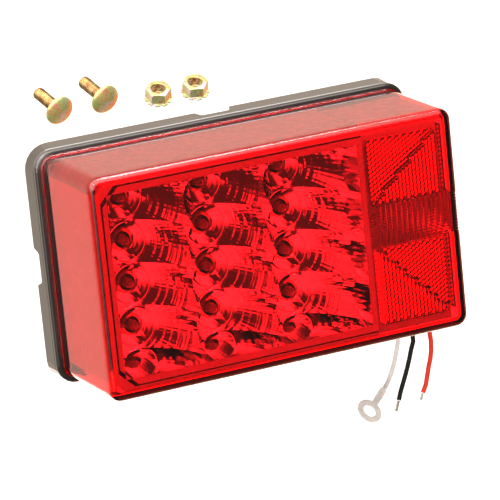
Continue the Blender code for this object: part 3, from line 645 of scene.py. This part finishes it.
def flute_dent(point, normal):
    """Upright flutes on the inside of the marker window."""
    if normal.y > -0.99 or not WINDOW_Z[0] <= point.z <= WINDOW_Z[1]:
        return point
    return point + Vector((0, FLUTE_DEPTH * scallop(point.x, *WINDOW_X, FLUTES), 0))


def make_lens():
    bm = bmesh.new()
    outer = lens_rings(LENS_FACE_Y, LENS_CORNER, LENS_EDGE, BEAD_Y - BEAD_RISE * BEAD, OUTER_TAPER)
    outer += bead_rings(wall=outer[-1][0])
    last_outer = lens_skin(bm, LENS_FACE_Y, LENS_CORNER - LENS_EDGE, outer, ridge_dent)
    inner_y, inner_radius = LENS_FACE_Y + LENS_WALL, LENS_CORNER - LENS_WALL
    inner = lens_rings(inner_y, inner_radius, INNER_EDGE, LENS_FOOT_Y, INNER_TAPER)
    last_inner = lens_skin(bm, inner_y, inner_radius - INNER_EDGE, inner, flute_dent)
    bridge(bm, last_outer, last_inner)
    bmesh.ops.recalc_face_normals(bm, faces=bm.faces)
    for face in bm.faces:
        # Faces at the foot take the second slot: opaque red with a painted glow
        face.material_index = int(face.calc_center_median().y > LENS_FOOT_Y - NEAR)
    add_piece("lens_shell", bm, ("lens", "foot_painted_glow"), "lens", smooth=math.radians(30))


# ---------------------------------------------------------------- reflector

COLUMNS, ROWS, COLUMN_PITCH, ROW_PITCH = 3, 4, 41.3 * mm, 21.0 * mm
FIRST_COLUMN_X = -62.0 * mm
DISH_FOCUS, DISH_BOTTOM_Y, DISH_HOLE = 3.36 * mm, -20.0 * mm, 4.0 * mm
BOWL_RADIUS, BOWL_STEPS = 9.3 * mm, 7
GROOVE = ((0.15 * mm, 0.30 * mm), (0.50 * mm, 0.30 * mm), (0.65 * mm, 0.0), (0.95 * mm, 0.0))  # out and down
BAND_WIDTH, BANDS, BAND_PARTS = 1.9 * mm, 8, 4
SPOKES, SPOKE_PARTS = 48, 4
PILLOW_ROUND, PILLOW_ALONG, PILLOW_FADE = 0.17 * mm, 0.26 * mm, 3.0 * mm
REFLECTOR_RIM_Y, REFLECTOR_FOOT_Y = -65.4 * mm, -13.3 * mm
REFLECTOR_LEFT, REFLECTOR_RIGHT, REFLECTOR_HALF_HEIGHT = -87.5 * mm, 46.7 * mm, 47.7 * mm
CORNER_CUT, CUT_SHRINK, KERB_GROWTH = 8.6 * mm, 1.2, 0.05  # as the outline grows outwards
LINE_WIDTH, LINE_DEPTH = 0.8 * mm, 2.5 * mm  # a dark line that sets off the rim's outer border
BORDER, BORDER_Y, SKIRT_STEPS = 3.0 * mm, -64.9 * mm, 4
RAMP = 2.4 * mm  # how far the walls round the dishes lean outwards
APRON_Y, APRON_Z = (-21.0 * mm, -20.2 * mm), (-45.0 * mm, 45.0 * mm)
APRON_X = ((47.4 * mm, 55.4 * mm), (58.2 * mm, 89.5 * mm))  # either side of the side board
WHITE, GREY, BLACK = 1, 2, 3  # material slots, after each piece's own first one; the grey one is painted shade


def pillow(part):
    """A low arch from 0 to 1 and back."""
    return 4 * part * (1 - part)


def make_dish():
    """One dish, centred on its lamp and cut to its rectangle: a smooth bowl, a groove, and bands of
    pillows."""
    bm = bmesh.new()
    count = SPOKES * SPOKE_PARTS
    start = BOWL_RADIUS + GROOVE[-1][0]

    def ring(radius, lift, bulge=0.0):
        row = []
        for k in range(count):
            angle = math.tau * (k + SPOKE_PARTS / 2) / count
            height = radius**2 / (4 * DISH_FOCUS) + lift + bulge * pillow(k % SPOKE_PARTS / SPOKE_PARTS)
            row.append(bm.verts.new((radius * math.cos(angle), -height, radius * math.sin(angle))))
        return row

    rings = [ring(radius, 0.0) for radius in spread(DISH_HOLE, BOWL_RADIUS, BOWL_STEPS)]
    rings += [ring(BOWL_RADIUS + out, -down) for out, down in GROOVE]
    for k in range(1, BANDS * BAND_PARTS + 1):
        radius = start + k * BAND_WIDTH / BAND_PARTS
        fade = min(1.0, (radius - start) / PILLOW_FADE)
        rings.append(ring(radius, PILLOW_ALONG * pillow(k % BAND_PARTS / BAND_PARTS), PILLOW_ROUND * fade))
    for one, two in zip(rings, rings[1:]):
        bridge(bm, one, two)
    for axis, half in ((0, COLUMN_PITCH / 2), (2, ROW_PITCH / 2)):
        for sign in (-1, 1):
            normal = Vector((0, 0, 0))
            normal[axis] = sign
            trim(bm, normal * half, normal)
    return bm


def make_dishes():
    """All the dishes, with walls round them that lean out to the rim. Gives the walls' top edges too."""
    bm = bmesh.new()
    half_width, half_height = COLUMNS * COLUMN_PITCH / 2, ROWS * ROW_PITCH / 2
    middle = FIRST_COLUMN_X + (COLUMNS - 1) / 2 * COLUMN_PITCH
    places = [
        (FIRST_COLUMN_X + i * COLUMN_PITCH, DISH_BOTTOM_Y, half_height - (j + 0.5) * ROW_PITCH)
        for i in range(COLUMNS) for j in range(ROWS)
    ]
    stamp(bm, make_dish(), [Matrix.Translation(place) for place in places])
    bmesh.ops.remove_doubles(bm, verts=bm.verts, dist=0.02 * mm)

    def sides(vert):
        """On which sides of the field the point lies: at its left or right, and at its top or bottom."""
        at_x = abs(abs(vert.co.x - middle) - half_width) < NEAR
        return at_x, abs(abs(vert.co.z) - half_height) < NEAR

    border = [e for e in bm.edges if e.is_boundary and all(any(sides(v)) for v in e.verts)]
    grown = bmesh.ops.extrude_edge_only(bm, edges=border)["geom"]
    for vert in verts_of(grown):
        at_x, at_z = sides(vert)
        if at_x:
            vert.co.x += math.copysign(RAMP, vert.co.x - middle)
        if at_z:
            vert.co.z += math.copysign(RAMP, vert.co.z)
        vert.co.y = REFLECTOR_RIM_Y
    return bm, edges_of(grown)


def rim_outline(bm, out, y):
    """A cut-cornered outline of the reflector, grown outwards, but hardly so on its kerb side."""
    cut = CORNER_CUT - CUT_SHRINK * out
    left, right = REFLECTOR_LEFT - out, REFLECTOR_RIGHT + KERB_GROWTH * out
    top = REFLECTOR_HALF_HEIGHT + out
    places = [(left, -top + cut), (left, top - cut), (left + cut, top)]
    places += [(right, top), (right, -top), (left + cut, -top)]
    return [bm.verts.new((x, y, z)) for x, z in places]


def make_reflector():
    bm, top_edges = make_dishes()
    outline = rim_outline(bm, 0.0, REFLECTOR_RIM_Y)
    rim = [bm.edges.new((p, q)) for p, q in zip(outline, outline[1:] + outline[:1])]
    bmesh.ops.triangle_fill(bm, use_beauty=True, edges=top_edges + rim, normal=(0, -1, 0))
    line_y = REFLECTOR_RIM_Y + LINE_DEPTH
    skirt = [(BORDER, y, GREY) for y in spread(BORDER_Y, REFLECTOR_FOOT_Y, SKIRT_STEPS)[1:]]
    for out, y, index in (
        (0.0, line_y, BLACK), (LINE_WIDTH, line_y, BLACK), (LINE_WIDTH, BORDER_Y, BLACK),
        (BORDER, BORDER_Y, WHITE), *skirt,
    ):
        grown = rim_outline(bm, out, y)
        bridge(bm, outline, grown, index)
        outline = grown
    bmesh.ops.recalc_face_normals(bm, faces=bm.faces)
    # The skirt is coloured by the way it faces: its top and bottom keep the grey of painted shade, and its
    # ends turn white like the flat rim
    for face in bm.faces:
        flat_rim = face.calc_center_median().y < REFLECTOR_RIM_Y + 2 * NEAR
        end_of_skirt = face.material_index == GREY and abs(face.normal.x) > 0.9
        if flat_rim or end_of_skirt:
            face.material_index = WHITE
    for left, right in APRON_X:
        add_box(bm, (left, APRON_Y[0], APRON_Z[0]), (right, APRON_Y[1], APRON_Z[1]), WHITE)
    add_piece(
        "reflector_shell", bm, ("silver", "white_plastic", "shade_grey_plastic", "black_plastic"),
        "reflector", smooth=math.radians(22),
    )


# ---------------------------------------------------------------- reflex reflectors

PRISM = 2.2 / math.sqrt(3.0) * mm  # from a prism's middle to each of its six corners
PRISM_COLUMN, PRISM_ROW = 1.5 * PRISM, math.sqrt(3.0) * PRISM
PRISM_FLOOR = 0.7 * mm  # solid plastic in front of the prisms
REFLEX_LEFT_X, REFLEX_SPLIT_X, REFLEX_RIGHT_X = 48.5 * mm, 85.4 * mm, 90.9 * mm
REFLEX_FACE_Y, REFLEX_END_Y = -65.6 * mm, -20.0 * mm
END_PLATE_DEPTH = REFLEX_END_Y - REFLEX_FACE_Y - 4.0 * mm
REFLEX_Z = {"upper": (13.4 * mm, 45.5 * mm), "lower": (-45.5 * mm, -8.4 * mm)}
BACKING_X, BACKING_Y = (47.5 * mm, 87.5 * mm), (-61.9 * mm, -61.1 * mm)
BACKING_Z = {"upper": (13.6 * mm, 51.0 * mm), "lower": (-51.0 * mm, -8.6 * mm)}
LEG_Y, LEG_THICK = (-61.0 * mm, -21.5 * mm), 0.8 * mm  # the upper backing's leg, back along its top, in grey: painted shade behind the lens's top wall


def cube_corners(width, height, turned):
    """A sheet of cube corners that covers a rectangle. turned(u, v) says where they stand the other way."""
    bm = bmesh.new()
    shared = {}

    def corner(u, v, tall):
        key = (round(u / (0.1 * mm)), round(v / (0.1 * mm)))
        if key not in shared:
            shared[key] = bm.verts.new((u, PRISM_FLOOR + (PRISM * math.sqrt(0.5) if tall else 0.0), v))
        return shared[key]

    for i in range(math.ceil(width / PRISM_COLUMN) + 1):
        for j in range(math.ceil(height / PRISM_ROW) + 1):
            u, v = i * PRISM_COLUMN, (j + i % 2 / 2) * PRISM_ROW
            apex = bm.verts.new((u, PRISM_FLOOR + PRISM * math.sqrt(2), v))
            flip = int(turned(u, v))
            ring = []
            for k in range(6):
                angle = math.tau * k / 6
                ring.append(corner(u + PRISM * math.cos(angle), v + PRISM * math.sin(angle), (k + flip) % 2))
            for k in range(1 - flip, 7 - flip, 2):
                bm.faces.new((apex, ring[k % 6], ring[(k + 1) % 6], ring[(k + 2) % 6]))
    return bm


def prism_plate(bm, width, height, place, turned):
    """A plate with a flat front and a back of cube corners, made flat at the origin, then placed."""
    plate = cube_corners(width, height, turned)
    for axis, span in ((0, width), (2, height)):
        for side, sign in ((0.0, -1), (span, 1)):
            point, normal = Vector((0, 0, 0)), Vector((0, 0, 0))
            point[axis], normal[axis] = side, sign
            trim(plate, point, normal)
    border = [e for e in plate.edges if e.is_boundary]
    grown = bmesh.ops.extrude_edge_only(plate, edges=border)["geom"]
    for vert in verts_of(grown):
        vert.co.y = 0.0
    front = [e for e in edges_of(grown) if e.is_boundary]
    bmesh.ops.triangle_fill(plate, use_beauty=True, edges=front, normal=(0, -1, 0))
    bmesh.ops.recalc_face_normals(plate, faces=plate.faces)
    stamp(bm, plate, [place])


def make_reflex(which):
    """A reflex reflector: a plate in front, a plate round the end, and a white backing; the upper one also
    gets a grey leg of painted shade along its top.
    """
    bm = bmesh.new()
    low, high = REFLEX_Z[which]
    width, height = REFLEX_SPLIT_X - REFLEX_LEFT_X, high - low

    def past_diagonal(u, v):
        across = u / width
        return v / height < (across if which == "upper" else 1 - across)

    front = Matrix.Translation((REFLEX_LEFT_X, REFLEX_FACE_Y, low))
    prism_plate(bm, width, height, front, past_diagonal)
    end = Matrix.Translation((REFLEX_RIGHT_X, REFLEX_END_Y - END_PLATE_DEPTH, low))
    end @= Matrix.Rotation(UPRIGHT, 4, "Z")
    prism_plate(bm, END_PLATE_DEPTH, height, end, lambda u, v: False)
    (left, right), (low, high) = BACKING_X, BACKING_Z[which]
    add_box(bm, (left, BACKING_Y[0], low), (right, BACKING_Y[1], high), WHITE)
    # A grey leg along the top of the upper backing: painted shade
    if which == "upper":
        add_box(bm, (left, LEG_Y[0], high - LEG_THICK), (right, LEG_Y[1], high), GREY)
    add_piece(
        f"{which}_reflex_prisms", bm, ("prism", "white_plastic", "shade_grey_plastic"),
        f"{which}_reflex_reflector", smooth=None,
    )


make_lens()
make_reflector()
make_reflex("upper")
make_reflex("lower")

# ---------------------------------------------------------------- mounting hardware

BOLT_X, NECK_Y = 25.4 * mm, -3.0 * mm
BOLT_RADIUS, BOLT_LENGTH, BOLT_POINT = 3.17 * mm, 19.0 * mm, 0.8 * mm
PITCH, THREAD_DEPTH, THREAD_ROWS = 1.27 * mm, 0.5 * mm, 6  # rows to a turn
HEAD_RADIUS, HEAD_HEIGHT, HEAD_RIM, HEAD_LIP = 7.45 * mm, 3.0 * mm, 0.6 * mm, 0.2 * mm
HEAD_STEPS = (88, 80, 70, 60, 50, 40, 30, 20, 10, 0)  # degrees up its dome
SQUARE_HALF, SQUARE_HIGH, SQUARE_CORNER = 3.1 * mm, 2.4 * mm, 1.28  # the corners are cut back a little
SHANK_STEP = 0.2 * mm  # between the square and the shank, and again before the thread
NUT_HALF_FLATS, NUT_HALF_HEIGHT, NUT_Y = 5.55 * mm, 2.6 * mm, 4.3 * mm
NUT_ROOT, NUT_CREST, NUT_FLARE, NUT_SLOPE = 3.62 * mm, 3.27 * mm, 0.35 * mm, 0.55
WASHER_TIP, WASHER_ROOT, WASHER_HOLE, WASHER_Y = 7.0 * mm, 5.8 * mm, 3.47 * mm, 0.85 * mm
WASHER_HALF, WASHER_LIP = 0.35 * mm, 0.2 * mm
WASHER_TEETH, TOOTH_STEPS, TOOTH_TWIST = 10, 4, 0.18 * mm
TURN_STEPS = 60
ZINC = ("zinc", "zinc_thread")
THREADED = ZINC.index("zinc_thread")


def turn(bm, rows, closed):
    """A skin round the z axis. Each row gives (radius, height) at an angle. Closed joins the last row to
    the first, and otherwise both ends get a cap."""
    rings = []
    for row in rows:
        ring = []
        for k in range(TURN_STEPS):
            angle = math.tau * k / TURN_STEPS
            radius, height = row(angle)
            ring.append(bm.verts.new((radius * math.cos(angle), radius * math.sin(angle), height)))
        rings.append(ring)
    for one, two in zip(rings, rings[1:] + (rings[:1] if closed else [])):
        bridge(bm, one, two)
    if not closed:
        bm.faces.new(rings[0])
        bm.faces.new(rings[-1])
    bmesh.ops.recalc_face_normals(bm, faces=bm.faces)


def level(radius, height):
    return lambda angle: (radius, height)


def thread(low, high, root, crest):
    """Rows of a screw thread from one height to another."""
    count = math.ceil((high - low) / PITCH * THREAD_ROWS)

    def row(height):
        def at(angle):
            phase = (height / PITCH - angle / math.tau) % 1.0
            return root + (crest - root) * (1 - abs(2 * phase - 1)), height
        return at

    return [row(height) for height in spread(low, high, count)]


def mark_threads(bm, reach, low):
    """Gives the faces within a reach of the z axis and above a height the thread's material."""
    for face in bm.faces:
        middle = face.calc_center_median()
        if math.hypot(middle.x, middle.y) < reach and middle.z > low:
            face.material_index = THREADED


def make_bolt():
    def square(height):
        def at(angle):
            reach = SQUARE_HALF / max(abs(math.cos(angle)), abs(math.sin(angle)))
            return min(reach, SQUARE_HALF * SQUARE_CORNER), height
        return at

    def dome(degrees):
        rise = (HEAD_HEIGHT - HEAD_RIM) * math.sin(math.radians(degrees))
        return level(HEAD_RADIUS * math.cos(math.radians(degrees)), -HEAD_RIM - rise)

    root = BOLT_RADIUS - THREAD_DEPTH
    rows = [
        *map(dome, HEAD_STEPS), level(HEAD_RADIUS, -HEAD_LIP), level(HEAD_RADIUS - HEAD_LIP, 0.0),
        square(0.0), square(SQUARE_HIGH), level(root, SQUARE_HIGH + SHANK_STEP),
        *thread(SQUARE_HIGH + 2 * SHANK_STEP, BOLT_LENGTH - BOLT_POINT, root, BOLT_RADIUS),
        level(BOLT_RADIUS - BOLT_POINT, BOLT_LENGTH),
    ]
    bm = bmesh.new()
    turn(bm, rows, closed=False)
    mark_threads(bm, BOLT_RADIUS + NEAR, SQUARE_HIGH + 2 * NEAR)
    return bm


def make_nut():
    half, collar = NUT_HALF_HEIGHT, NUT_HALF_FLATS - 0.1 * mm

    def hexagon(angle):
        return NUT_HALF_FLATS / math.cos(angle % math.radians(60) - math.radians(30))

    rows = [
        lambda angle: (hexagon(angle), -half),
        lambda angle: (hexagon(angle), half - NUT_SLOPE * (hexagon(angle) - collar)),
        level(collar, half), level(NUT_ROOT + NUT_FLARE, half), level(NUT_ROOT, half - 0.4 * mm),
        *reversed(thread(-half + 0.4 * mm, half - 0.5 * mm, NUT_ROOT, NUT_CREST)),
        level(NUT_ROOT, -half + 0.2 * mm), level(NUT_ROOT + 0.2 * mm, -half),
    ]
    bm = bmesh.new()
    turn(bm, rows, closed=True)
    mark_threads(bm, NUT_ROOT + 3 * NEAR, -half)
    return bm


def make_washer():
    """A toothed washer, each tooth twisted a little out of its plane."""
    steps = TURN_STEPS // WASHER_TEETH
    middle = (TOOTH_STEPS - 1) / 2

    def edge(height):
        def at(angle):
            step = round(angle / math.tau * TURN_STEPS) % steps
            if step >= TOOTH_STEPS:
                return WASHER_ROOT, height
            return WASHER_TIP, height + TOOTH_TWIST * (step - middle) / middle
        return at

    half, inside = WASHER_HALF, WASHER_ROOT - WASHER_LIP
    rows = [level(WASHER_HOLE, -half), level(inside, -half), edge(-half), edge(half),
            level(inside, half), level(WASHER_HOLE, half)]
    bm = bmesh.new()
    turn(bm, rows, closed=True)
    return bm


def fit_hardware():
    """The bolts, washers and nuts in place on the back of the light."""
    backwards = Matrix.Rotation(math.radians(-90), 4, "X")
    for side, x in (("left", -BOLT_X), ("right", BOLT_X)):
        for kind, body, y, maker in (
            ("carriage_bolt", "bolt", NECK_Y, make_bolt), ("lock_washer", "washer", WASHER_Y, make_washer),
            ("lock_nut", "nut", NUT_Y, make_nut),
        ):
            bm = maker()
            bmesh.ops.transform(bm, matrix=Matrix.Translation((x, y, 0)) @ backwards, verts=bm.verts)
            node = f"{kind}_{side}"
            add_piece(f"{node}_fine", bm, ZINC, node, body=f"{body}_{side}")


# A second set lies loose above the light, as such lights are sold. Its places, in millimetres, and its
# directions are (rightwards, upwards, towards the camera).
LOOSE_BOLTS = [(-80.0, 56.9, 0.0), (-57.9, 62.3, 0.0)]
LOOSE_NUTS = [(-31.7, 65.5, 0.0), (-13.8, 68.7, 0.0)]
BOLT_POINTS, NUT_POINTS, ASKEW = (-0.569, 0.469, -0.676), (0.0, 0.743, 0.669), (0.8, -0.3, 0.5)
BOLT_TWIST, NUT_TWIST, WASHER_TWIST = 0.5, 0.12, 0.4  # more for each one
WASHER_DROP = NUT_Y - WASHER_Y


def lay_loose(name, maker, place, points, twist):
    """Lays one piece so that its axis points in a direction, as the camera sees it."""
    eye = Matrix((CAMERA_RIGHT, CAMERA_UP, CAMERA_BACK)).transposed()
    up = eye @ Vector(points)
    across = (eye @ Vector(ASKEW)).cross(up).normalized()
    turned = Matrix((across, up.cross(across), up)).transposed().to_4x4()
    piece = add_mesh(name, maker(), ZINC)
    piece.matrix_world = Matrix.Translation(eye @ place) @ turned @ Matrix.Rotation(twist, 4, "Z")
    piece.visible_shadow = piece.visible_glossy = piece.visible_transmission = False


def lay_hardware():
    for n, place in enumerate(LOOSE_BOLTS, start=1):
        lay_loose(f"loose_bolt_{n}", make_bolt, Vector(place) * mm, BOLT_POINTS, n * BOLT_TWIST)
    for n, place in enumerate(LOOSE_NUTS, start=1):
        over = Vector(place) * mm
        under = over - Vector(NUT_POINTS) * WASHER_DROP
        lay_loose(f"loose_nut_{n}", make_nut, over, NUT_POINTS, n * NUT_TWIST)
        lay_loose(f"loose_washer_{n}", make_washer, under, NUT_POINTS, n * WASHER_TWIST)


fit_hardware()
lay_hardware()

# ---------------------------------------------------------------- the other CAD pieces

for n in range(1, COLUMNS * ROWS + 1):
    dress(f"led_{n:02d}", "epoxy")
for n in (1, 2):
    dress(f"side_marker_led_{n}", "epoxy")
    dress(f"diode_{n}", "diode")
for n in (1, 2, 3, 4):
    dress(f"board_screw_{n}", "steel")
    dress(f"resistor_{n}", "ceramic")
for node, key in (
    ("base_housing", "black_plastic"), ("lens_seal", "rubber"), ("wire_grommet", "rubber"),
    ("side_lead_1", "red_vinyl"), ("side_lead_2", "black_vinyl"), ("side_circuit_board", "board_edge"),
):
    dress(node, key)
dress("main_circuit_board", "board", "board_edge", choose=lambda face: int(abs(face.normal.y) < 0.5))
